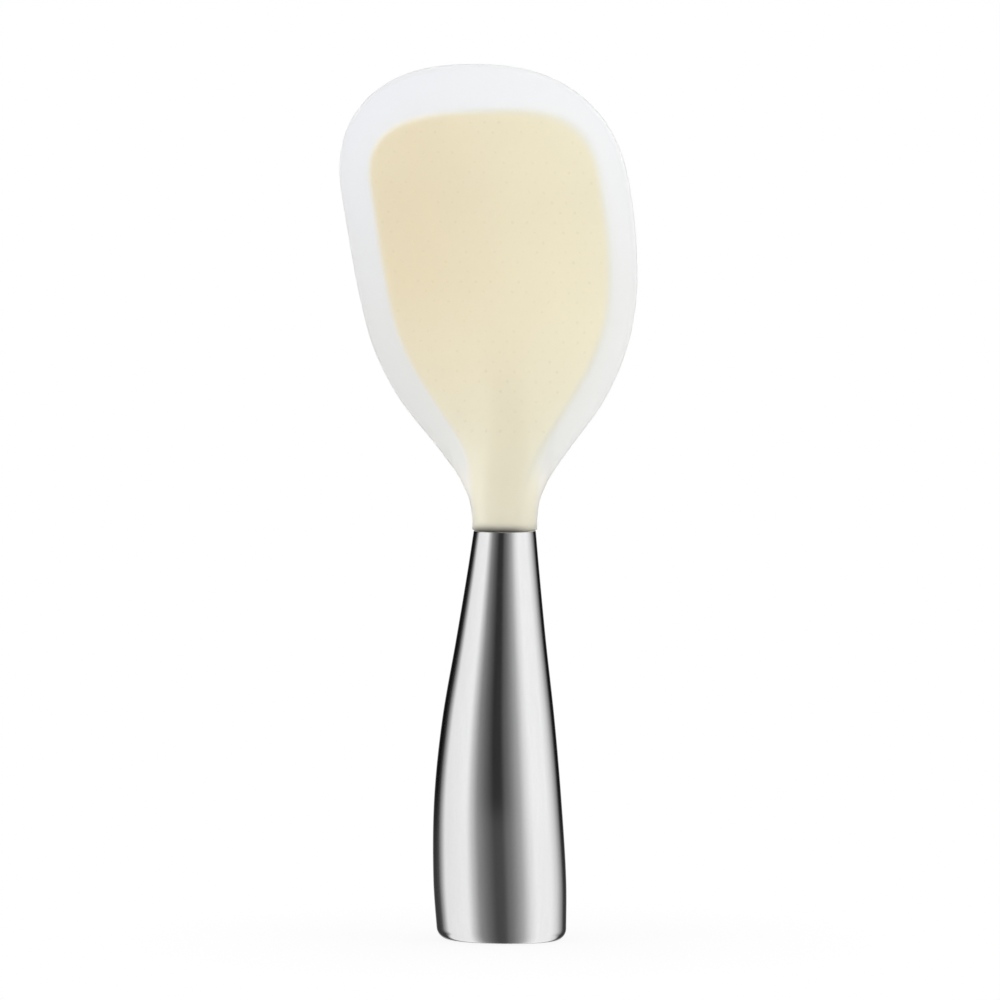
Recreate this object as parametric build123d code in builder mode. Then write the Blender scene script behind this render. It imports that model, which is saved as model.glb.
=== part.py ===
from build123d import *
from math import cos, pi, radians, sin, tan
import os

# Rice paddle: a soft blade moulded over a cream core, on a hollow steel handle that stands on its foot.
# The frame is in millimetres. +Z runs from the foot up to the tip, and -Y is the hollow face of the blade.
# The origin is the middle of the flat foot.

# Whole paddle
overall_length = 220.0
handle_length = 103.0
tang_set_back = 2.2       # the tang stands this far behind the middle of the foot
overrun = 2.0             # how far a cut runs past what it cuts

# Handle
handle_width = 34.1
handle_depth = 28.0
handle_bow = 5.4          # how far the handle bows forward of the tang
mouth_diameter = 15.6
handle_wall = 1.0
foot_radius = 3.0         # rolled edge round the foot
mouth_edge_radius = 0.35
cap_thickness = 1.2
cap_inset = 4.0           # from the handle's side to the edge of the cap

# Blade
blade_width = 76.7
crown_height = 33.0       # from the widest point up to the tip
blade_thickness = 4.8
lip_thickness = 2.0
lip_radius = 0.85
blade_lean = 23.0         # how far the tip stands forward of the tang
blade_cup = 3.8           # depth of the hollow face
tip_fullness = 2.35       # exponent of the rounded end, where 2 is an ellipse

# Neck
neck_diameter = 16.3
neck_height = 36.0        # from the mouth to where the neck has faded into the blade
neck_edge_radius = 0.6

# Core
skin_thickness = 0.8
core_side_margin = 7.2    # from the core to the blade's rim, at the widest point
core_top_margin = 11.2    # from the core to the tip
core_fullness = 3.0
core_tilt = 3.5           # degrees by which the core's top edge rises towards +X
spigot_length = 3.0       # the core's spigot in the handle's mouth

# Tang, plug and fasteners
shank_diameter = 5.0
shank_clearance = 0.1     # on the radius
strip_width = 9.0
strip_thickness = 1.8
strip_top = 34.0          # above the mouth
strip_bottom = 4.0        # above the mouth
key_hole_diameter = 4.0   # filled by the core's plastic
key_hole_height = 24.0    # above the mouth
plug_length = 26.0
seat_clearance = 0.1      # between the plug or spigot and the steel round it
washer_diameter = 12.0
washer_thickness = 1.2
nut_width = 8.0           # across the flats
nut_height = 4.0
nut_chamfer = 0.5
shank_end = 2.5           # shank below the nut

# Handle sections: height up the handle, width, depth and bow, as shares of the handle's own sizes
handle_section_shares = [
    (0.000, 0.968, 0.968, 0.41),
    (0.150, 1.000, 1.000, 0.69),
    (0.346, 0.956, 0.964, 0.96),
    (0.540, 0.842, 0.879, 0.87),
    (0.735, 0.669, 0.736, 0.52),
    (0.893, 0.538, 0.632, 0.20),
]

# Blade sections: height up the blade, half-width, lean, cup and thickness, as shares of the blade's sizes
blade_section_shares = [
    (0.02, 0.30, 0.005, 0.05, 1.00),
    (0.20, 0.56, 0.085, 0.45, 1.00),
    (0.36, 0.86, 0.185, 0.84, 1.00),
    (0.50, 0.97, 0.26, 0.97, 0.97),
    (0.64, 1.00, 0.46, 0.97, 0.90),
    (0.78, 1.00, 0.74, 0.79, 0.80),
    (0.92, 1.00, 0.95, 0.45, 0.66),
    (1.03, 1.00, 1.05, 0.16, 0.50),
]

# Flanks below the widest point: height from the mouth to the widest point, and half-width, as shares
blade_flank_shares = [(0.15, 0.27), (0.242, 0.447), (0.39, 0.706), (0.54, 0.873), (0.69, 0.956), (0.84, 0.99)]
core_flank_shares = [(0.17, 0.29), (0.275, 0.40), (0.39, 0.61), (0.51, 0.805), (0.63, 0.925), (0.80, 0.99)]
outline_start_shares = (0.06, 0.16)            # height and half-width where an outline starts inside the neck
top_angle_shares = [0, 0.2, 0.45, 0.7, 0.88]   # of the quarter turn from the widest point to the tip

# Neck sections: height up the neck, depth, width and the core's width, as shares of its height and diameter.
# The core is narrower than the skin where the neck flares.
neck_section_shares = [
    (0.00, 1.00, 1.00, 1.00),
    (0.09, 0.99, 1.00, 0.98),
    (0.22, 0.92, 1.11, 1.06),
    (0.36, 0.79, 1.40, 1.19),
    (0.58, 0.55, 1.75, 1.35),
    (0.80, 0.33, 1.85, 1.60),
    (1.00, 0.15, 1.60, 1.40),
]

# Worked out from the sizes above
blade_length = overall_length - handle_length
blade_half_width = blade_width / 2
core_half_width = blade_half_width - core_side_margin
core_top = overall_length - core_top_margin
widest_height = overall_length - crown_height
throat_radius = mouth_diameter / 2 - handle_wall
plug_top = handle_length - spigot_length
plug_bottom = plug_top - plug_length
washer_bottom = plug_bottom - washer_thickness
nut_bottom = washer_bottom - nut_height
cap_width = handle_section_shares[0][1] * handle_width - 2 * cap_inset
cap_depth = handle_section_shares[0][2] * handle_depth - 2 * cap_inset


def share_between(share, table, column):
    """A column of a table of shares, read between its rows."""
    low = table[0]
    for high in table[1:]:
        if share <= high[0]:
            return low[column] + (high[column] - low[column]) * (share - low[0]) / (high[0] - low[0])
        low = high
    return table[-1][column]


def handle_solid(inset, bottom):
    """The handle's solid shape, drawn in by the inset all round, from the bottom height up."""
    with BuildPart() as body:
        for height, width, depth, bow in handle_section_shares:
            with BuildSketch(Plane.XY.offset(max(height * handle_length, bottom))):
                with Locations((0, tang_set_back - bow * handle_bow)):
                    Ellipse(width * handle_width / 2 - inset, depth * handle_depth / 2 - inset)
        with BuildSketch(Plane.XY.offset(handle_length)):
            with Locations((0, tang_set_back)):
                Ellipse(mouth_diameter / 2 - inset, mouth_diameter / 2 - inset)
        loft()
    return body.part


def handle_hollow(clearance):
    """The space inside the handle, above the cap, drawn in by a clearance."""
    with BuildPart() as space:
        add(handle_solid(handle_wall + clearance, cap_thickness))
        fillet(space.edges().group_by(Axis.Z)[0], foot_radius - handle_wall)
    return space.part


def outline_points(half_width, flank_shares, top, fullness, tilt):
    """An outline in the front view, up the -X flank, over the top and down the +X flank."""
    rise = widest_height - handle_length
    flank = [(width * half_width, handle_length + height * rise) for height, width in flank_shares]
    angles = [share * pi / 2 for share in top_angle_shares]
    crown = [
        (
            half_width * cos(angle) ** (2 / fullness),
            widest_height + (top - widest_height) * sin(angle) ** (2 / fullness),
        )
        for angle in angles
    ]
    start_height, start_width = outline_start_shares
    right = [(start_width * blade_half_width, handle_length + start_height * rise)] + flank + crown
    points = [(-x, z) for x, z in right] + [(0, top)] + right[::-1]
    slope = tan(radians(tilt)) / (top - widest_height)
    return [(x, z + x * slope * max(0, z - widest_height)) for x, z in points]


def neck_solid(cover):
    """The neck, round at the handle's mouth and fading into the blade. With a cover, it is the core's neck."""
    with BuildPart() as neck:
        for height, depth, skin_width, core_width in neck_section_shares:
            width = core_width if cover else skin_width
            up = height * neck_height
            lean = share_between(up / blade_length, blade_section_shares, 2)
            cup = share_between(up / blade_length, blade_section_shares, 3)
            with BuildSketch(Plane.XY.offset(handle_length + up)):
                with Locations((0, tang_set_back - lean * blade_lean + cup * blade_cup)):
                    Ellipse(width * neck_diameter / 2 - cover, depth * neck_diameter / 2 - cover)
        loft()
    return neck.part


def blade_solid(half_width, flank_shares, top, fullness, tilt, cover, edge_radius):
    """The blade and its neck, thinner by the cover on each face, cut to an outline."""
    lip = lip_thickness / 2 - cover
    with BuildPart() as blade:
        for height, width, lean, cup, thickness in blade_section_shares:
            reach = width * blade_half_width + overrun
            rim = tang_set_back - lean * blade_lean
            spine = rim + cup * blade_cup
            half = thickness * blade_thickness / 2 - cover
            with BuildSketch(Plane.XY.offset(handle_length + height * blade_length)):
                with BuildLine():
                    ThreePointArc((-reach, rim - lip), (0, spine - half), (reach, rim - lip))
                    Line((reach, rim - lip), (reach, rim + lip))
                    ThreePointArc((reach, rim + lip), (0, spine + half), (-reach, rim + lip))
                    Line((-reach, rim + lip), (-reach, rim - lip))
                make_face()
        loft()
        with BuildSketch(Plane.XZ.offset(-blade_length)):
            with BuildLine():
                points = outline_points(half_width, flank_shares, top, fullness, tilt)
                Spline(*points)
                Line(points[-1], points[0])
            make_face()
        extrude(amount=2 * blade_length, mode=Mode.INTERSECT)
        if edge_radius > 0:
            fillet(blade.edges().sort_by(SortBy.LENGTH)[-2:], edge_radius)
        add(neck_solid(cover))
    return blade.part


# Tang: a flat strip in the core, and a round shank down through the handle's throat
with BuildPart() as tang:
    with BuildSketch(Plane.XY.offset(handle_length + strip_bottom)):
        with Locations((0, tang_set_back)):
            Rectangle(strip_width, strip_thickness)
    extrude(amount=strip_top - strip_bottom)
    fillet(tang.edges().filter_by(Axis.Y).group_by(Axis.Z)[-1], strip_width / 4)
    with BuildSketch(Plane.XZ):
        with Locations((0, handle_length + key_hole_height)):
            Circle(key_hole_diameter / 2)
    extrude(amount=strip_width, both=True, mode=Mode.SUBTRACT)
    with BuildSketch(Plane.XY.offset(nut_bottom - shank_end)):
        with Locations((0, tang_set_back)):
            Circle(shank_diameter / 2)
    extrude(amount=handle_length + strip_bottom - nut_bottom + shank_end + strip_thickness)
tang.part.label = "tang"

# Core: the cream plate with its neck and a spigot in the handle's mouth, moulded round the tang
with BuildPart() as blade_core:
    add(blade_solid(core_half_width, core_flank_shares, core_top, core_fullness, core_tilt, skin_thickness, 0))
    with BuildSketch(Plane.XY.offset(handle_length)):
        with Locations((0, tang_set_back)):
            Circle(throat_radius - seat_clearance)
    extrude(amount=-spigot_length)
    add(tang.part, mode=Mode.SUBTRACT)
blade_core.part.label = "blade_core"

# Skin: the silicone over the core
with BuildPart() as blade_skin:
    add(blade_solid(blade_half_width, blade_flank_shares, overall_length, tip_fullness, 0, 0, lip_radius))
    fillet(blade_skin.edges().group_by(Axis.Z)[0], neck_edge_radius)
    add(blade_core.part, mode=Mode.SUBTRACT)
    add(tang.part, mode=Mode.SUBTRACT)
blade_skin.part.label = "blade_skin"

# Handle shell: hollow, open at its mouth, with a rolled foot round the cap
with BuildPart() as handle_shell:
    add(handle_solid(0, 0))
    fillet(handle_shell.edges().group_by(Axis.Z)[0], foot_radius)
    fillet(handle_shell.edges().group_by(Axis.Z)[-1], mouth_edge_radius)
    add(handle_hollow(0), mode=Mode.SUBTRACT)
    with BuildSketch(Plane.XY):
        Ellipse(cap_width / 2, cap_depth / 2)
    extrude(amount=cap_thickness + overrun, mode=Mode.SUBTRACT)
handle_shell.part.label = "handle_shell"

# Base cap: the flat disc that closes the foot
with BuildPart() as base_cap:
    with BuildSketch(Plane.XY):
        Ellipse(cap_width / 2, cap_depth / 2)
    extrude(amount=cap_thickness)
base_cap.part.label = "base_cap"

# Throat plug: fills the narrowing throat, and is drawn up into it by the nut
with BuildPart() as throat_plug:
    add(handle_hollow(seat_clearance))
    with BuildSketch(Plane.XY.offset(plug_bottom)):
        Ellipse(handle_width, handle_width)
    extrude(amount=plug_length, mode=Mode.INTERSECT)
    with BuildSketch(Plane.XY.offset(plug_bottom)):
        with Locations((0, tang_set_back)):
            Circle(shank_diameter / 2 + shank_clearance)
    extrude(amount=plug_length, mode=Mode.SUBTRACT)
throat_plug.part.label = "throat_plug"

# Washer and nut under the plug
with BuildPart() as tang_washer:
    with BuildSketch(Plane.XY.offset(washer_bottom)):
        with Locations((0, tang_set_back)):
            Circle(washer_diameter / 2)
            Circle(shank_diameter / 2 + shank_clearance, mode=Mode.SUBTRACT)
    extrude(amount=washer_thickness)
tang_washer.part.label = "tang_washer"

with BuildPart() as tang_nut:
    with BuildSketch(Plane.XY.offset(nut_bottom)):
        with Locations((0, tang_set_back)):
            RegularPolygon(nut_width / 2, 6, major_radius=False)
            Circle(shank_diameter / 2, mode=Mode.SUBTRACT)
    extrude(amount=nut_height)
    chamfer(tang_nut.edges().filter_by(GeomType.LINE).group_by(Axis.Z)[0], nut_chamfer)
tang_nut.part.label = "tang_nut"

os.makedirs("parts", exist_ok=True)
pieces = [blade_skin, blade_core, tang, throat_plug, tang_washer, tang_nut, handle_shell, base_cap]
for piece in pieces:
    export_step(piece.part, f"parts/{piece.part.label}.step")
    print(piece.part.label, piece.part.is_valid, round(piece.part.volume))
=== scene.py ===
import math

import bmesh
import bpy
from mathutils import Matrix, Vector


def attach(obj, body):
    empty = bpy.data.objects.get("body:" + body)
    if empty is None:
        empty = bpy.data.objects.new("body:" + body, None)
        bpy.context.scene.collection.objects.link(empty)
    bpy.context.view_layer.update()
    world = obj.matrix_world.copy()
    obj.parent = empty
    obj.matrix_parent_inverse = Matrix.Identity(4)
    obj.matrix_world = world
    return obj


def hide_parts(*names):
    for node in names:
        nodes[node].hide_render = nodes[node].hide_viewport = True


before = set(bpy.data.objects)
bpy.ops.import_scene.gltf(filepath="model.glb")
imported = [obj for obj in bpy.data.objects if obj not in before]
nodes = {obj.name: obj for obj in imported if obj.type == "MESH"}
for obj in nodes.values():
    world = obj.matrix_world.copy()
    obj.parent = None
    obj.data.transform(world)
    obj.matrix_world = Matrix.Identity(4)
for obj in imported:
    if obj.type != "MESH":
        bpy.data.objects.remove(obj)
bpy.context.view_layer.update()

mm = 0.001
print("frame loaded", sorted(nodes))


# Sizes that several pieces share, in millimetres, as the CAD has them
paddle = {"length": 220.0, "handleLength": 103.0, "tangSetBack": 2.2}


def alongTable(table, share, column):
    # a smooth curve through one column of a table whose first column rises
    last = len(table) - 1
    share = min(max(share, table[0][0]), table[last][0])
    i = next(k for k in range(last) if share <= table[k + 1][0])
    low, high = table[i], table[i + 1]
    before, after = table[max(i - 1, 0)], table[min(i + 2, last)]
    rise = high[0] - low[0]
    slopeLow = (high[column] - before[column]) / (high[0] - before[0]) * rise
    slopeHigh = (after[column] - low[column]) / (after[0] - low[0]) * rise
    t = (share - low[0]) / rise
    return (low[column] * (1 + 2 * t) * (1 - t) ** 2 + slopeLow * t * (1 - t) ** 2
            + high[column] * t * t * (3 - 2 * t) - slopeHigh * t * t * (1 - t))


def rounding(distance, radius):
    # 0 on an edge and 1 from one radius inwards, as a quarter circle
    part = min(max(distance / radius, 0), 1)
    return math.sqrt(1 - (1 - part) ** 2)


def meshFrom(bm, name):
    mesh = bpy.data.meshes.new(name)
    bm.to_mesh(mesh)
    bm.free()
    return mesh


def addObject(name, data):
    added = bpy.data.objects.new(name, data)
    bpy.context.scene.collection.objects.link(added)
    return added


def finishMesh(bm, name, sharpAngle=180):
    # modelled in millimetres, smooth but for edges sharper than an angle in degrees
    bmesh.ops.scale(bm, vec=(mm, mm, mm), verts=bm.verts)
    bmesh.ops.recalc_face_normals(bm, faces=bm.faces)
    mesh = meshFrom(bm, name)
    mesh.shade_smooth()
    mesh.set_sharp_from_angle(angle=math.radians(sharpAngle))
    return addObject(name, mesh)


def place(piece, material, slot, *cadNodes):
    piece.data.materials.append(material)
    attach(piece, "root")
    if cadNodes:
        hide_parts(*cadNodes)
    print("made", piece.name, len(piece.data.polygons), "faces")


# Shader maths: a wrapped socket that takes part in sums
class Num:
    def __init__(self, shade, socket):
        self.shade = shade
        self.socket = socket

    def __add__(self, other):
        return self.shade.math("ADD", self, other)

    __radd__ = __add__

    def __sub__(self, other):
        return self.shade.math("SUBTRACT", self, other)

    def __rsub__(self, other):
        return self.shade.math("SUBTRACT", other, self)

    def __mul__(self, other):
        return self.shade.math("MULTIPLY", self, other)

    __rmul__ = __mul__

    def __truediv__(self, other):
        return self.shade.math("DIVIDE", self, other)


class Shade:
    def __init__(self, owner):
        owner.use_nodes = True
        self.tree = owner.node_tree
        self.tree.nodes.clear()
        self.owner = owner

    def node(self, kind, settings=None, inputs=None):
        node = self.tree.nodes.new(kind)
        for key, value in (settings or {}).items():
            if key == "stops":
                stops = node.color_ramp.elements
                stops.remove(stops[1])
                stops[0].position = value[0][0]
                stops[0].color = (*[value[0][1]] * 3, 1)
                for position, grey in value[1:]:
                    stops.new(position).color = (grey, grey, grey, 1)
            else:
                setattr(node, key, value)
        for key, value in (inputs or {}).items():
            if isinstance(value, Num):
                self.tree.links.new(value.socket, node.inputs[key])
            elif isinstance(value, bpy.types.NodeSocket):
                self.tree.links.new(value, node.inputs[key])
            else:
                node.inputs[key].default_value = value
        return node

    def num(self, node, output=0):
        return Num(self, node.outputs[output])

    def math(self, operation, first, second):
        return self.num(self.node("ShaderNodeMath", {"operation": operation}, {0: first, 1: second}))

    def objectPlace(self, scale=(1, 1, 1)):
        where = self.node("ShaderNodeTexCoord")
        inputs = {"Vector": where.outputs["Object"], "Scale": scale}
        return self.node("ShaderNodeMapping", inputs=inputs).outputs[0]

    def axis(self, which):
        # one object coordinate, in millimetres
        parts = self.node("ShaderNodeSeparateXYZ", inputs={0: self.objectPlace((1 / mm, 1 / mm, 1 / mm))})
        return self.num(parts, which)

    def between(self, value, low, high):
        # a value's share of the way from low to high, eased at both ends
        node = self.node("ShaderNodeMapRange", {"interpolation_type": "SMOOTHSTEP"}, {
            "Value": value, "From Min": low, "From Max": high})
        return self.num(node)

    def outwards(self, sides, middle=0):
        # the share of the way out to both sides of a middle, between two squared distances
        across = self.axis(0) - middle
        return self.between(across * across, *sides)

    def jointShadeShare(self, height, look):
        # how much painted shade falls in the joint with the steel, most in the middle of the neck
        least = look["jointShadeLeast"]
        middle = self.outwards(look["jointShadeSides"]) * (1 - least) + least
        return self.between(height, *reversed(look["jointShadeHeights"])) * middle

    def attribute(self, name):
        return self.between(self.num(self.node("ShaderNodeAttribute", {"attribute_name": name}), "Fac"), 0, 1)

    def noise(self, scale, stretch=(1, 1, 1)):
        inputs = {"Vector": self.objectPlace(stretch), "Scale": scale}
        return self.num(self.node("ShaderNodeTexNoise", inputs=inputs))

    def blend(self, factor, colourA, colourB):
        node = self.node("ShaderNodeMix", {"data_type": "RGBA"}, {0: factor, 6: colourA, 7: colourB})
        return node.outputs[2]

    def bump(self, height, strength, distance):
        inputs = {"Height": height, "Strength": strength, "Distance": distance}
        return self.node("ShaderNodeBump", inputs=inputs).outputs[0]

    def surface(self, shader):
        self.node("ShaderNodeOutputMaterial", inputs={"Surface": shader.outputs[0]})
        return self.owner


def linear(red, green, blue):
    # a colour as a picture holds it, 0 to 255, as the shader wants it
    def one(level):
        share = level / 255
        return share / 12.92 if share <= 0.04045 else ((share + 0.055) / 1.055) ** 2.4
    return (one(red), one(green), one(blue), 1)


noiseMean = 0.5


def principled(shade, look, colour, spread, grain, extra):
    # a surface whose roughness follows one noise and whose bumps follow another
    return shade.surface(shade.node("ShaderNodeBsdfPrincipled", inputs={
        "Base Color": colour,
        "Roughness": look["roughness"] + (spread - noiseMean) * look["roughnessSpread"],
        "Normal": shade.bump(grain, look["grainStrength"], look["grainHeight"]),
        **extra,
    }))


# Silicone: milky and see-through, cooler at the tip, clear over the core; painted shade darkens the left, the
# neck and the joint with the steel
siliconeLook = {
    # painted shade: darker at the left than at the right, and darker towards the neck than at the tip
    "tipShadedLeft": linear(245, 246, 249), "tipLitRight": linear(250, 251, 252),
    "neckShadedLeft": linear(233, 233, 231), "neckLitRight": linear(242, 242, 240),
    "cover": linear(252, 250, 244), "cloud": linear(230, 230, 230), "cloudShare": 0.25,
    "tipHeights": (130, 210), "sides": (-36, 36),
    # painted shade that darkens the silicone where it meets the steel
    "jointPaintedShade": linear(120, 118, 108), "jointShadeHeights": (102.8, 104.8), "jointShadeSides": (80, 4), "jointShadeLeast": 0.3,
    "seeThrough": 0.74, "ior": 1.06, "gloss": 0.8, "glossIor": 1.41, "glossRoughness": 0.4,
    "roughness": 0.42, "roughnessSpread": 0.08,
    "cloudScale": 34, "grainScale": 2600, "grainStrength": 0.15, "grainHeight": 0.00001,
}


def siliconeMaterial():
    look = siliconeLook
    shade = Shade(bpy.data.materials.new("clearSilicone"))
    height = shade.axis(2)
    litRightShare = shade.between(shade.axis(0), *look["sides"])
    cloud = shade.noise(look["cloudScale"])
    grain = shade.noise(look["grainScale"])
    # painted shade, darker at the left and down towards the neck
    neck = shade.blend(litRightShare, look["neckShadedLeft"], look["neckLitRight"])
    tip = shade.blend(litRightShare, look["tipShadedLeft"], look["tipLitRight"])
    colour = shade.blend(shade.between(height, *look["tipHeights"]), neck, tip)
    colour = shade.blend(cloud * look["cloudShare"], colour, look["cloud"])
    colour = shade.blend(shade.attribute("coreShare"), colour, look["cover"])
    # painted shade in the joint with the steel
    colour = shade.blend(shade.jointShadeShare(height, look), colour, look["jointPaintedShade"])
    return principled(shade, look, colour, cloud, grain, {
        "IOR": look["ior"],
        "Transmission Weight": look["seeThrough"],
        "Coat Weight": look["gloss"],
        "Coat IOR": look["glossIor"],
        "Coat Roughness": look["glossRoughness"],
    })


# Dots on both faces, a little deeper in colour than the silicone round them, some fainter than others
dotLook = {
    "colour": linear(224, 214, 186), "pale": linear(231, 222, 195), "faint": 0.015, "solid": 0.065,
    "fadeScale": 420, "fadeRange": (0.4, 0.66), "roughness": 0.6, "roughnessSpread": 0.1,
    "cloudScale": 160, "grainScale": 3000, "grainStrength": 0.1, "grainHeight": 0.00001,
}


def dotMaterial():
    look = dotLook
    shade = Shade(bpy.data.materials.new("dotSilicone"))
    cloud = shade.noise(look["cloudScale"])
    grain = shade.noise(look["grainScale"])
    fade = shade.between(shade.noise(look["fadeScale"]), *look["fadeRange"])
    colour = shade.blend(cloud, look["colour"], look["pale"])
    return principled(shade, look, colour, cloud, grain, {
        "Alpha": fade * (look["solid"] - look["faint"]) + look["faint"]})


# Cream plastic of the core: deeper at the left, where painted shade also darkens it, greyer in the neck with
# painted shade down its middle, and paler at its thin rim
creamLook = {
    # painted shade: the core is darker at the left than at the right
    "left": linear(240, 224, 183), "right": linear(250, 242, 209), "sides": (-28, 28),
    # painted shade and light on the round neck: darker down its middle, paler at its sides
    "neck": linear(224, 219, 194), "neckLitSide": linear(236, 234, 213), "neckLitSides": (6, 45), "neckShadedMiddle": 2.0,
    "neckHeights": (100, 170),
    "cloud": linear(243, 236, 214), "cloudShare": 0.3, "rim": linear(250, 249, 236),
    # painted shade that darkens the core where the neck meets the steel
    "jointPaintedShade": linear(120, 118, 104), "jointShadeHeights": (102.8, 105.6), "jointShadeSides": (60, 4), "jointShadeLeast": 0.3,
    "roughness": 0.5, "roughnessSpread": 0.1,
    "cloudScale": 60, "grainScale": 1800, "grainStrength": 0.2, "grainHeight": 0.00002,
}


def creamMaterial():
    look = creamLook
    shade = Shade(bpy.data.materials.new("creamPlastic"))
    height = shade.axis(2)
    cloud = shade.noise(look["cloudScale"])
    grain = shade.noise(look["grainScale"])
    # painted shade, darker at the left
    colour = shade.blend(shade.between(shade.axis(0), *look["sides"]), look["left"], look["right"])
    colour = shade.blend(cloud * look["cloudShare"], colour, look["cloud"])
    # painted shade down the neck's middle, painted light at its sides
    neckLitSide = shade.outwards(look["neckLitSides"], look["neckShadedMiddle"])
    neck = shade.blend(neckLitSide, look["neck"], look["neckLitSide"])
    colour = shade.blend(shade.between(height, *look["neckHeights"]), neck, colour)
    colour = shade.blend(shade.attribute("coreShare"), look["rim"], colour)
    # painted shade in the joint with the steel
    colour = shade.blend(shade.jointShadeShare(height, look), colour, look["jointPaintedShade"])
    return principled(shade, look, colour, grain, grain, {})


# Satin steel: ground lengthwise, so its grain runs up the handle
satinLook = {
    "bright": (0.785, 0.785, 0.79, 1), "dull": (0.705, 0.705, 0.71, 1),
    "roughness": 0.12, "roughnessSpread": 0.1, "patchScale": 28, "strokeShare": 0.6,
    "strokeScale": 900, "strokeStretch": (1, 1, 0.03), "speckScale": 1500, "speckStretch": (1, 1, 0.5),
    "grainStrength": 0.12, "grainHeight": 0.00002,
}


def satinMaterial():
    look = satinLook
    shade = Shade(bpy.data.materials.new("satinSteel"))
    strokes = shade.noise(look["strokeScale"], look["strokeStretch"])
    specks = shade.noise(look["speckScale"], look["speckStretch"])
    patches = shade.noise(look["patchScale"])
    share = look["strokeShare"]
    grain = strokes * share + specks * (1 - share)
    spread = strokes * share + patches * (1 - share)
    colour = shade.blend(grain, look["dull"], look["bright"])
    return principled(shade, look, colour, spread, grain, {"Metallic": 1.0})


# Plain steel of the tang, its washer and its nut
plainLook = {
    "bright": (0.62, 0.62, 0.62, 1), "dull": (0.52, 0.52, 0.53, 1),
    "roughness": 0.36, "roughnessSpread": 0.12, "markScale": 700, "markStretch": (1, 1, 0.2),
    "grainStrength": 0.2, "grainHeight": 0.00002,
}


def plainSteelMaterial():
    look = plainLook
    shade = Shade(bpy.data.materials.new("plainSteel"))
    marks = shade.noise(look["markScale"], look["markStretch"])
    colour = shade.blend(marks, look["dull"], look["bright"])
    return principled(shade, look, colour, marks, marks, {"Metallic": 1.0})


# Plastic of the throat's plug
plugLook = {
    "light": (0.62, 0.62, 0.58, 1), "dark": (0.55, 0.55, 0.52, 1), "roughness": 0.5, "roughnessSpread": 0.12,
    "cloudScale": 120, "grainScale": 2200, "grainStrength": 0.2, "grainHeight": 0.00002,
}


def plugPlasticMaterial():
    look = plugLook
    shade = Shade(bpy.data.materials.new("plugPlastic"))
    grain = shade.noise(look["grainScale"])
    colour = shade.blend(shade.noise(look["cloudScale"]), look["dark"], look["light"])
    return principled(shade, look, colour, grain, grain, {})


silicone = siliconeMaterial()
dotSilicone = dotMaterial()
cream = creamMaterial()
satin = satinMaterial()
plainSteel = plainSteelMaterial()
plugPlastic = plugPlasticMaterial()
print("materials ready")


# The blade's shape: skin and core share its sections, and each has its own outline
blade = {
    "width": 76.7, "crown": 33.0, "thickness": 4.8, "lip": 2.0, "lean": 23.0, "cup": 3.8, "overrun": 2.0,
    "neckDiameter": 16.3, "neckHeight": 36.0, "neckEdge": 0.6,
    # height up the blade, half-width, lean, cup and thickness, as shares
    "sectionShares": [
        (0.00, 0.30, 0.000, 0.00, 1.00), (0.02, 0.30, 0.005, 0.05, 1.00), (0.20, 0.56, 0.085, 0.45, 1.00),
        (0.36, 0.86, 0.185, 0.84, 1.00), (0.50, 0.97, 0.26, 0.97, 0.97), (0.64, 1.00, 0.46, 0.97, 0.90),
        (0.78, 1.00, 0.74, 0.79, 0.80), (0.92, 1.00, 0.95, 0.45, 0.66), (1.03, 1.00, 1.05, 0.16, 0.50)],
    # height up the neck, depth, width and the core's width, as shares
    "neckShares": [
        (0.00, 1.00, 1.00, 1.00), (0.09, 0.99, 1.00, 0.98), (0.22, 0.92, 1.11, 1.06),
        (0.36, 0.79, 1.40, 1.19), (0.58, 0.55, 1.75, 1.35), (0.80, 0.33, 1.85, 1.60),
        (1.00, 0.15, 1.60, 1.40)],
    "columns": 96, "rows": 170, "cornerShare": 0.758, "bowPower": 5, "neckPower": 4,
    "weld": 0.0005, "sharpAngle": 50,
}
skinOutline = {
    "halfWidth": 38.34, "top": 219.99, "fullness": 2.35, "tilt": 0.0,
    "edge": 1.0, "cover": 0.0, "neckColumn": 2,
    # height from the handle's mouth to the widest point, and half-width, as shares
    "flankShares": [
        (0.00, 0.2125), (0.04, 0.213), (0.093, 0.2365), (0.152, 0.2995), (0.242, 0.447), (0.39, 0.706),
        (0.54, 0.873), (0.69, 0.956), (0.84, 0.99), (1.00, 1.00), (1.16, 0.99)],
}
coreOutline = {
    "halfWidth": 31.15, "top": 208.8, "fullness": 3.0, "tilt": 3.5,
    "edge": 1.9, "cover": 0.8, "neckColumn": 3, "neckTop": 122.0, "neckFade": 10.0,
    "flankShares": [
        (0.00, 0.236), (0.04, 0.236), (0.093, 0.254), (0.152, 0.285), (0.212, 0.315), (0.275, 0.40),
        (0.39, 0.61), (0.51, 0.805), (0.63, 0.925), (0.80, 0.99), (1.00, 1.00), (1.20, 0.98)],
}
bladeHalfWidth = blade["width"] / 2
neckRadius = blade["neckDiameter"] / 2
widest = paddle["length"] - blade["crown"]
leastReach = 0.001        # keeps the outline's middle from a division by zero


def crownShare(share, fullness):
    return max(1 - abs(share) ** fullness, 0) ** (1 / fullness)


def halfWidthAt(outline, z):
    if z < widest:
        share = (z - paddle["handleLength"]) / (widest - paddle["handleLength"])
        return outline["halfWidth"] * alongTable(outline["flankShares"], share, 1)
    return outline["halfWidth"] * crownShare((z - widest) / (outline["top"] - widest), outline["fullness"])


def rimDistance(outline, x, z):
    # how far a place on the blade is inside an outline
    if z <= widest:
        return halfWidthAt(outline, z) - abs(x)
    across, up = abs(x) / outline["halfWidth"], (z - widest) / (outline["top"] - widest)
    reach = (across ** outline["fullness"] + up ** outline["fullness"]) ** (1 / outline["fullness"])
    return math.hypot(x, z - widest) * (1 / max(reach, leastReach) - 1)


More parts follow.
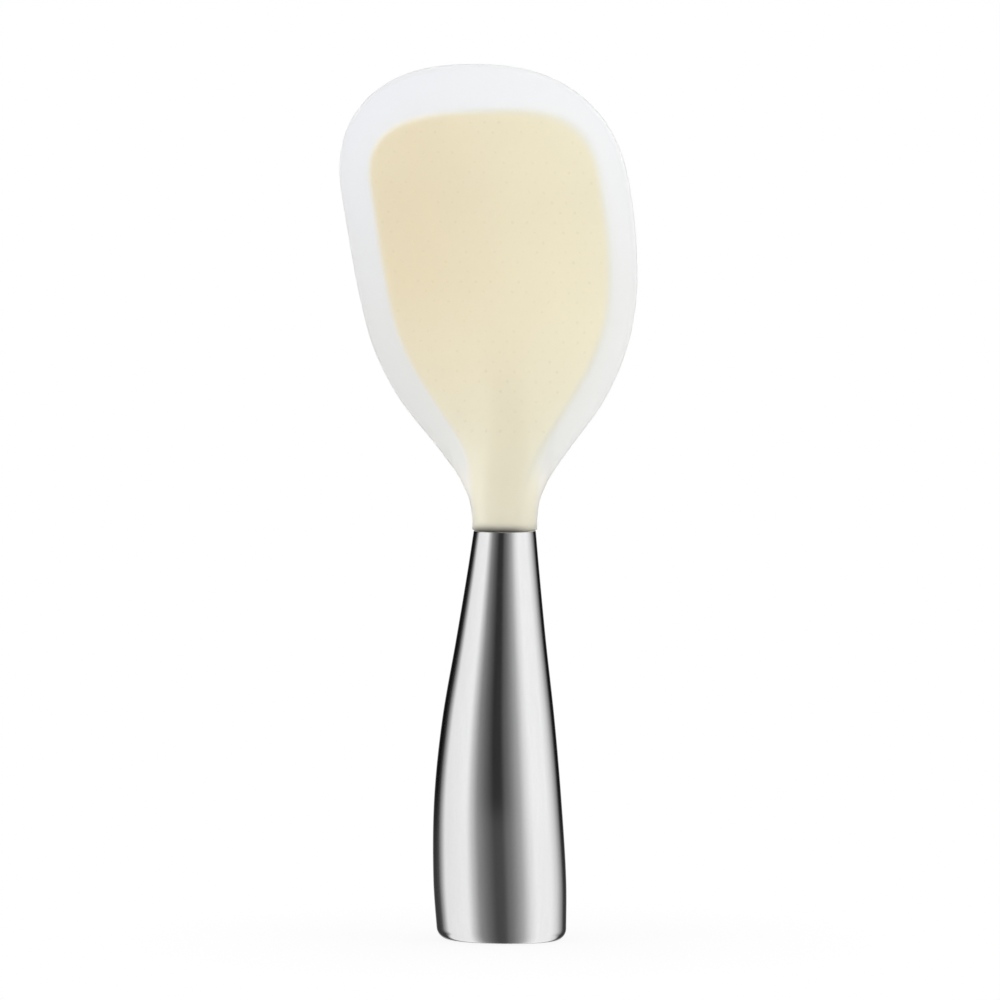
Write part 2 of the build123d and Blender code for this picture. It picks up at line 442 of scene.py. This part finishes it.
def bladeSection(outline, x, z):
    # the middle surface and the half thickness, for the skin or for the core under its cover
    up = (z - paddle["handleLength"]) / (paddle["length"] - paddle["handleLength"])
    width, lean, cup, thickness = (alongTable(blade["sectionShares"], up, k) for k in (1, 2, 3, 4))
    across = 1 - min((x / (width * bladeHalfWidth + blade["overrun"])) ** 2, 1)
    middle = paddle["tangSetBack"] - lean * blade["lean"] + cup * blade["cup"] * across
    cover = outline["cover"]
    plate = (blade["lip"] + (thickness * blade["thickness"] - blade["lip"]) * across) / 2 - cover
    plate *= rounding(rimDistance(outline, x, z), outline["edge"])
    neckUp = (z - paddle["handleLength"]) / blade["neckHeight"]
    if neckUp >= 1:
        return middle, plate
    power = blade["neckPower"]
    neckDepth = alongTable(blade["neckShares"], neckUp, 1) * neckRadius - cover
    neckWidth = alongTable(blade["neckShares"], neckUp, outline["neckColumn"]) * neckRadius - cover
    neckWidth = min(neckWidth, halfWidthAt(outline, z))
    inside = max(1 - (x / neckWidth) ** 2, 0)
    neck = max(neckDepth, 0) * math.sqrt(inside) * (1 - neckUp ** power)
    return middle, (plate ** power + neck ** power) ** (1 / power)


def coreShare(x, z):
    # 0 outside the core's outline, and 1 well inside it and all round the neck
    inside = rimDistance(coreOutline, x, z) / coreOutline["edge"]
    neck = (coreOutline["neckTop"] - z) / coreOutline["neckFade"]
    return min(max(inside, neck, 0), 1)


def bladeSheet(bm, outline, side):
    # one face of the blade, a grid whose rows bow up to the crown; side is -1 in front and 1 behind
    made = bmesh.ops.create_grid(bm, x_segments=blade["columns"], y_segments=blade["rows"], size=1)["verts"]
    coreLayer = bm.verts.layers.float["coreShare"]
    base = paddle["handleLength"]
    crown = outline["top"] - widest
    corner = widest + crown * blade["cornerShare"]
    cornerWidth = halfWidthAt(outline, corner)
    slope = math.tan(math.radians(outline["tilt"])) / crown
    for vert in made:
        u = math.sin(vert.co.x * math.pi / 2)
        v = (1 - math.cos((vert.co.y + 1) * math.pi / 2)) / 2
        z = base + v * (corner - base)
        x = u * halfWidthAt(outline, z)
        bowed = widest + crown * crownShare(u * cornerWidth / outline["halfWidth"], outline["fullness"])
        z += v ** blade["bowPower"] * (bowed - corner)
        vert[coreLayer] = coreShare(x, z)
        middle, half = bladeSection(outline, x, z)
        foot = 1 - blade["neckEdge"] * (1 - rounding(z - base, blade["neckEdge"])) / neckRadius
        z += x * slope * max(0, z - widest)
        vert.co = Vector((x * foot, middle + side * half * foot, z))


def bladePiece(name, outline, spigot=None):
    bm = bmesh.new()
    bm.verts.layers.float.new("coreShare")
    bladeSheet(bm, outline, -1)
    bladeSheet(bm, outline, 1)
    bmesh.ops.remove_doubles(bm, verts=bm.verts, dist=blade["weld"])
    mouth = [edge for edge in bm.edges if edge.is_boundary]
    if spigot:
        # a step inwards at the neck's foot, and then down into the handle's mouth
        ring = [vert for vert in bm.verts if vert.is_boundary]
        share = spigot["radius"] / max(vert.co.x for vert in ring)
        for drop, scale in ((0, share), (spigot["length"], 1)):
            made = bmesh.ops.extrude_edge_only(bm, edges=mouth)["geom"]
            lower = [item for item in made if isinstance(item, bmesh.types.BMVert)]
            middle = Matrix.Translation((0, -paddle["tangSetBack"], 0))
            bmesh.ops.scale(bm, vec=(scale, scale, 1), space=middle, verts=lower)
            bmesh.ops.translate(bm, vec=(0, 0, -drop), verts=lower)
            mouth = [edge for edge in bm.edges if edge.is_boundary]
    bmesh.ops.contextual_create(bm, geom=mouth)
    return finishMesh(bm, name, blade["sharpAngle"])


spigot = {"radius": 6.7, "length": 3.0}
place(bladePiece("bladeSkin", skinOutline), silicone, "clear_silicone", "blade_skin")
place(bladePiece("bladeCore", coreOutline, spigot), cream, "cream_plastic", "blade_core")


# Raised dots, in staggered rows over the core on both faces
dots = {
    "radius": 0.45, "rise": 0.1, "across": 3.8, "along": 2.5, "first": 128.0, "margin": 2.2,
    "columns": 9, "segments": 8, "rings": 4,
}


def facePoint(x, z, side):
    middle, half = bladeSection(skinOutline, x, z)
    return Vector((x, middle + side * half, z))


def dotPiece(name, side):
    bm = bmesh.new()
    step = dots["radius"]
    rows = int((coreOutline["top"] - dots["first"]) / dots["along"])
    for row in range(rows):
        line = bmesh.new()        # each row is made apart, because spheres join a full mesh slowly
        z = dots["first"] + row * dots["along"]
        for column in range(-dots["columns"], dots["columns"] + 1):
            x = (column + row % 2 / 2) * dots["across"]
            if rimDistance(coreOutline, x, z) < dots["margin"]:
                continue
            here = facePoint(x, z, side)
            acrossWay = facePoint(x + step, z, side) - facePoint(x - step, z, side)
            upWay = facePoint(x, z + step, side) - facePoint(x, z - step, side)
            outwards = acrossWay.cross(upWay) * -side
            turn = outwards.to_track_quat("Z", "Y").to_matrix().to_4x4()
            flat = Matrix.Diagonal((dots["radius"], dots["radius"], dots["rise"], 1))
            bmesh.ops.create_uvsphere(line, u_segments=dots["segments"], v_segments=dots["rings"], radius=1,
                                      matrix=Matrix.Translation(here) @ turn @ flat)
        lineMesh = meshFrom(line, "dotLine")
        bm.from_mesh(lineMesh)
        bpy.data.meshes.remove(lineMesh)
    return finishMesh(bm, name)


for name, side in {"frontDots": -1, "backDots": 1}.items():
    place(dotPiece(name, side), dotSilicone, "clear_silicone")


# Handle: one closed profile, spun round and then drawn out to the oval sections
handle = {
    "width": 34.1, "depth": 28.0, "bow": 5.4, "wall": 1.0, "footRadius": 3.0, "mouthEdge": 0.35,
    "capInset": 4.0, "capThickness": 1.2, "capEdge": 0.2, "segments": 160, "rings": 60, "innerRings": 30,
    "arcSteps": 10, "sharpAngle": 50,
    # height up the handle, width, depth and bow, as shares
    "sectionShares": [
        (0.000, 0.968, 0.968, 0.41), (0.150, 1.000, 1.000, 0.69), (0.346, 0.956, 0.964, 0.96),
        (0.540, 0.842, 0.879, 0.87), (0.735, 0.669, 0.736, 0.52), (0.893, 0.538, 0.632, 0.20),
        (1.000, 0.4575, 0.5571, 0.00)],
}


def handleProfile():
    # (inset, height) from the edge of the cap, round the foot, up, over the mouth and back down inside
    foot, edge, wall, bead = handle["footRadius"], handle["mouthEdge"], handle["wall"], handle["capEdge"]
    top, cap = paddle["handleLength"], handle["capThickness"]
    quarter = [k / handle["arcSteps"] * math.pi / 2 for k in range(handle["arcSteps"] + 1)]
    points = [(handle["capInset"], bead), (handle["capInset"] - bead, 0)]
    points += [(foot * (1 - math.sin(a)), foot * (1 - math.cos(a))) for a in quarter]
    rise = top - edge - foot
    points += [(0, foot + rise * k / handle["rings"]) for k in range(1, handle["rings"])]
    points += [(edge * (1 - math.cos(a)), top - edge * (1 - math.sin(a))) for a in quarter[::2]]
    points += [(wall - edge / 2, top), (wall, top - edge / 2)]
    inner = foot - wall
    fall = top - edge / 2 - cap - inner
    innerRings = handle["innerRings"]
    points += [(wall, top - edge / 2 - fall * k / innerRings) for k in range(1, innerRings)]
    points += [(wall + inner * (1 - math.cos(a)), cap + inner * (1 - math.sin(a))) for a in quarter[::2]]
    points += [(handle["capInset"], cap)]
    return points


def handlePiece():
    bm = bmesh.new()
    hub = handle["width"]        # the spun ring's radius, from which the insets are taken
    verts = [bm.verts.new((hub - inset, 0, height)) for inset, height in handleProfile()]
    edges = [bm.edges.new((verts[k - 1], verts[k])) for k in range(len(verts))]
    bmesh.ops.spin(bm, geom=verts + edges, cent=(0, 0, 0), axis=(0, 0, 1), angle=math.tau,
                   steps=handle["segments"], use_merge=True)
    for vert in bm.verts:
        ring = math.hypot(vert.co.x, vert.co.y)
        inset = hub - ring
        up = vert.co.z / paddle["handleLength"]
        width, depth, bow = (alongTable(handle["sectionShares"], up, k) for k in (1, 2, 3))
        vert.co.x *= (width * handle["width"] / 2 - inset) / ring
        vert.co.y *= (depth * handle["depth"] / 2 - inset) / ring
        vert.co.y += paddle["tangSetBack"] - bow * handle["bow"]
    return finishMesh(bm, "handleShell", handle["sharpAngle"])


place(handlePiece(), satin, "satin_steel", "handle_shell")

cadMaterials = {
    "base_cap": satin, "tang": plainSteel, "tang_nut": plainSteel, "tang_washer": plainSteel,
    "throat_plug": plugPlastic,
}
for name, material in cadMaterials.items():
    nodes[name].data.materials.clear()
    nodes[name].data.materials.append(material)


# Studio, in metres and degrees: camera, lamps, a card that only reflections see, floor and white background
studio = {
    "azimuth": 20.0, "elevation": 3.0, "distance": 2.2, "aimHeight": 0.1106, "aimAside": -0.0012,
    "pictureWidth": 0.2511, "sensor": 36.0, "ambient": 0.78,
}
# a softbox to each side of the camera, turned round the paddle by this many degrees
lampLook = {"turn": 66, "distance": 0.9, "height": 0.3, "size": (0.5, 0.9), "power": 2.2}


def aroundPaddle(angle, distance, height):
    # a place round the paddle, at an angle to the right of the camera, in degrees
    turn = math.radians(studio["azimuth"] + angle)
    return Vector((math.sin(turn) * distance, -math.cos(turn) * distance, height))


def aimAt(thing, aim):
    thing.rotation_euler = (aim - thing.location).to_track_quat("-Z", "Y").to_euler()


def makeCamera():
    data = bpy.data.cameras.new("camera")
    camera = addObject("camera", data)
    right = aroundPaddle(90, studio["aimAside"], 0)
    aim = Vector((0, paddle["tangSetBack"] * mm, studio["aimHeight"])) + right
    lift = math.radians(studio["elevation"])
    away = aroundPaddle(0, studio["distance"] * math.cos(lift), studio["distance"] * math.sin(lift))
    camera.location = aim + away
    aimAt(camera, aim)
    data.sensor_width = studio["sensor"]
    data.lens = studio["sensor"] * studio["distance"] / studio["pictureWidth"]
    bpy.context.scene.camera = camera


def makeLamp(name, side):
    data = bpy.data.lights.new(name, "AREA")
    data.shape = "RECTANGLE"
    data.size, data.size_y = lampLook["size"]
    data.energy = lampLook["power"]
    lamp = addObject(name, data)
    lamp.location = aroundPaddle(side * lampLook["turn"], lampLook["distance"], lampLook["height"])
    aimAt(lamp, Vector((0, 0, studio["aimHeight"])))
    lamp.visible_camera = False
    lamp.visible_glossy = False


def stageMesh(bm, name, material):
    mesh = meshFrom(bm, name)
    mesh.materials.append(material)
    thing = addObject(name, mesh)
    return thing


# What the steel sees all round: a drum, open at the top
cardLook = {
    "radius": 0.55, "low": -1.0, "high": 0.9, "steps": 120,
    # in millimetres: where the floor's grey comes in, and the part in front or low down with straight streaks
    "floorHeights": (30, -60), "floorShare": 0.06, "floor": 0.75,
    "nearReach": (-300, 0), "lowReach": (-250, -450),
    # degrees to the right of the camera, and brightness
    "stops": [
        (-180, 0.95), (-172, 0.6), (-158, 0.01), (-138, 0.005), (-126, 0.04), (-115, 0.42), (-104, 1.01),
        (-60, 1.12), (-52, 0.72), (-42, 0.3), (-31, 0.15), (-18, 0.035), (-6, 0.04), (0, 0.13), (6, 0.18),
        (13, 0.29), (24, 0.5), (36, 0.92), (48, 1.14), (84, 1.12), (105, 0.78), (117, 0.46), (125, 0.28),
        (133, 0.04), (140, 0.005), (158, 0.01), (172, 0.6), (180, 0.95)],
}


def cardMaterial():
    look = cardLook
    shade = Shade(bpy.data.materials.new("cardGlow"))
    x, y, z = (shade.axis(k) for k in range(3))
    turn = math.radians(studio["azimuth"])
    right = x * math.cos(turn) + y * math.sin(turn)
    toCamera = x * math.sin(turn) - y * math.cos(turn)
    plainTurn = shade.math("ARCTAN2", right, toCamera)
    # twice the turn of the steel that mirrors a place, so that the streaks run straight down over the foot
    reach = shade.math("POWER", x * x + y * y + z * z, 0.5)
    steelTurn = shade.math("ARCTAN2", right, toCamera + reach) * 2
    near, low = shade.between(toCamera, *look["nearReach"]), shade.between(z, *look["lowReach"])
    steelShare = shade.math("MAXIMUM", near, low)
    turnShare = (plainTurn + (steelTurn - plainTurn) * steelShare) / math.tau + 0.5
    brightest = max(grey for angle, grey in look["stops"])
    stops = [((angle + 180) / 360, grey / brightest) for angle, grey in look["stops"]]
    ramp = shade.node("ShaderNodeValToRGB", {"stops": stops}, {0: turnShare})
    floorShare = shade.between(z, *look["floorHeights"]) * look["floorShare"]
    grey = look["floor"] / brightest
    colour = shade.blend(floorShare, ramp.outputs[0], (grey, grey, grey, 1))
    return shade.surface(shade.node("ShaderNodeEmission", inputs={"Color": colour, "Strength": brightest}))


def makeCard():
    look = cardLook
    bm = bmesh.new()
    bmesh.ops.create_circle(bm, segments=look["steps"], radius=look["radius"], cap_ends=True,
                            matrix=Matrix.Translation((0, 0, look["low"])))
    made = bmesh.ops.extrude_edge_only(bm, edges=bm.edges[:])["geom"]
    upper = [item for item in made if isinstance(item, bmesh.types.BMVert)]
    bmesh.ops.translate(bm, vec=(0, 0, look["high"] - look["low"]), verts=upper)
    card = stageMesh(bm, "reflectionCard", cardMaterial())
    card.visible_camera = False
    card.visible_diffuse = False
    card.visible_transmission = False
    card.visible_shadow = False


def seenDirectly(shade):
    # 1 for rays from the camera, and for those that metal or glass shows
    path = shade.node("ShaderNodeLightPath")
    seen = shade.math("MAXIMUM", shade.num(path, "Is Camera Ray"), shade.num(path, "Is Glossy Ray"))
    return shade.math("MAXIMUM", seen, shade.num(path, "Is Transmission Ray"))


# The floor glows white where it is seen, and under the paddle it keeps a little of the paper's own shading
floorLook = {"radius": 9, "segments": 96, "paper": (0.9, 0.9, 0.9, 1), "shadow": 0.14, "shadowReach": 0.1}


def makeFloor():
    look = floorLook
    bm = bmesh.new()
    bmesh.ops.create_circle(bm, segments=look["segments"], radius=look["radius"], cap_ends=True)
    shade = Shade(bpy.data.materials.new("floorPaper"))
    paper = shade.node("ShaderNodeBsdfDiffuse", inputs={"Color": look["paper"]})
    glow = shade.node("ShaderNodeEmission", inputs={"Strength": 1.0})
    spread = shade.node("ShaderNodeTexGradient", {"gradient_type": "SPHERICAL"}, {
        0: shade.objectPlace((1 / look["shadowReach"], 1 / look["shadowReach"], 1))})
    share = seenDirectly(shade) * (1 - shade.num(spread, 1) * look["shadow"])
    mixed = shade.node("ShaderNodeMixShader", inputs={0: share, 1: paper.outputs[0], 2: glow.outputs[0]})
    floor = stageMesh(bm, "floor", shade.surface(mixed))
    floor.visible_glossy = False


def makeWorld():
    world = bpy.data.worlds.new("whiteRoom")
    bpy.context.scene.world = world
    shade = Shade(world)
    strength = seenDirectly(shade) * (1 - studio["ambient"]) + studio["ambient"]
    sky = shade.node("ShaderNodeBackground", inputs={"Color": (1, 1, 1, 1), "Strength": strength})
    shade.node("ShaderNodeOutputWorld", inputs={"Surface": sky.outputs[0]})


makeCamera()
makeLamp("leftSoftbox", -1)
makeLamp("rightSoftbox", 1)
makeCard()
makeFloor()
makeWorld()
bpy.context.scene.view_settings.view_transform = "Standard"
print("studio ready")
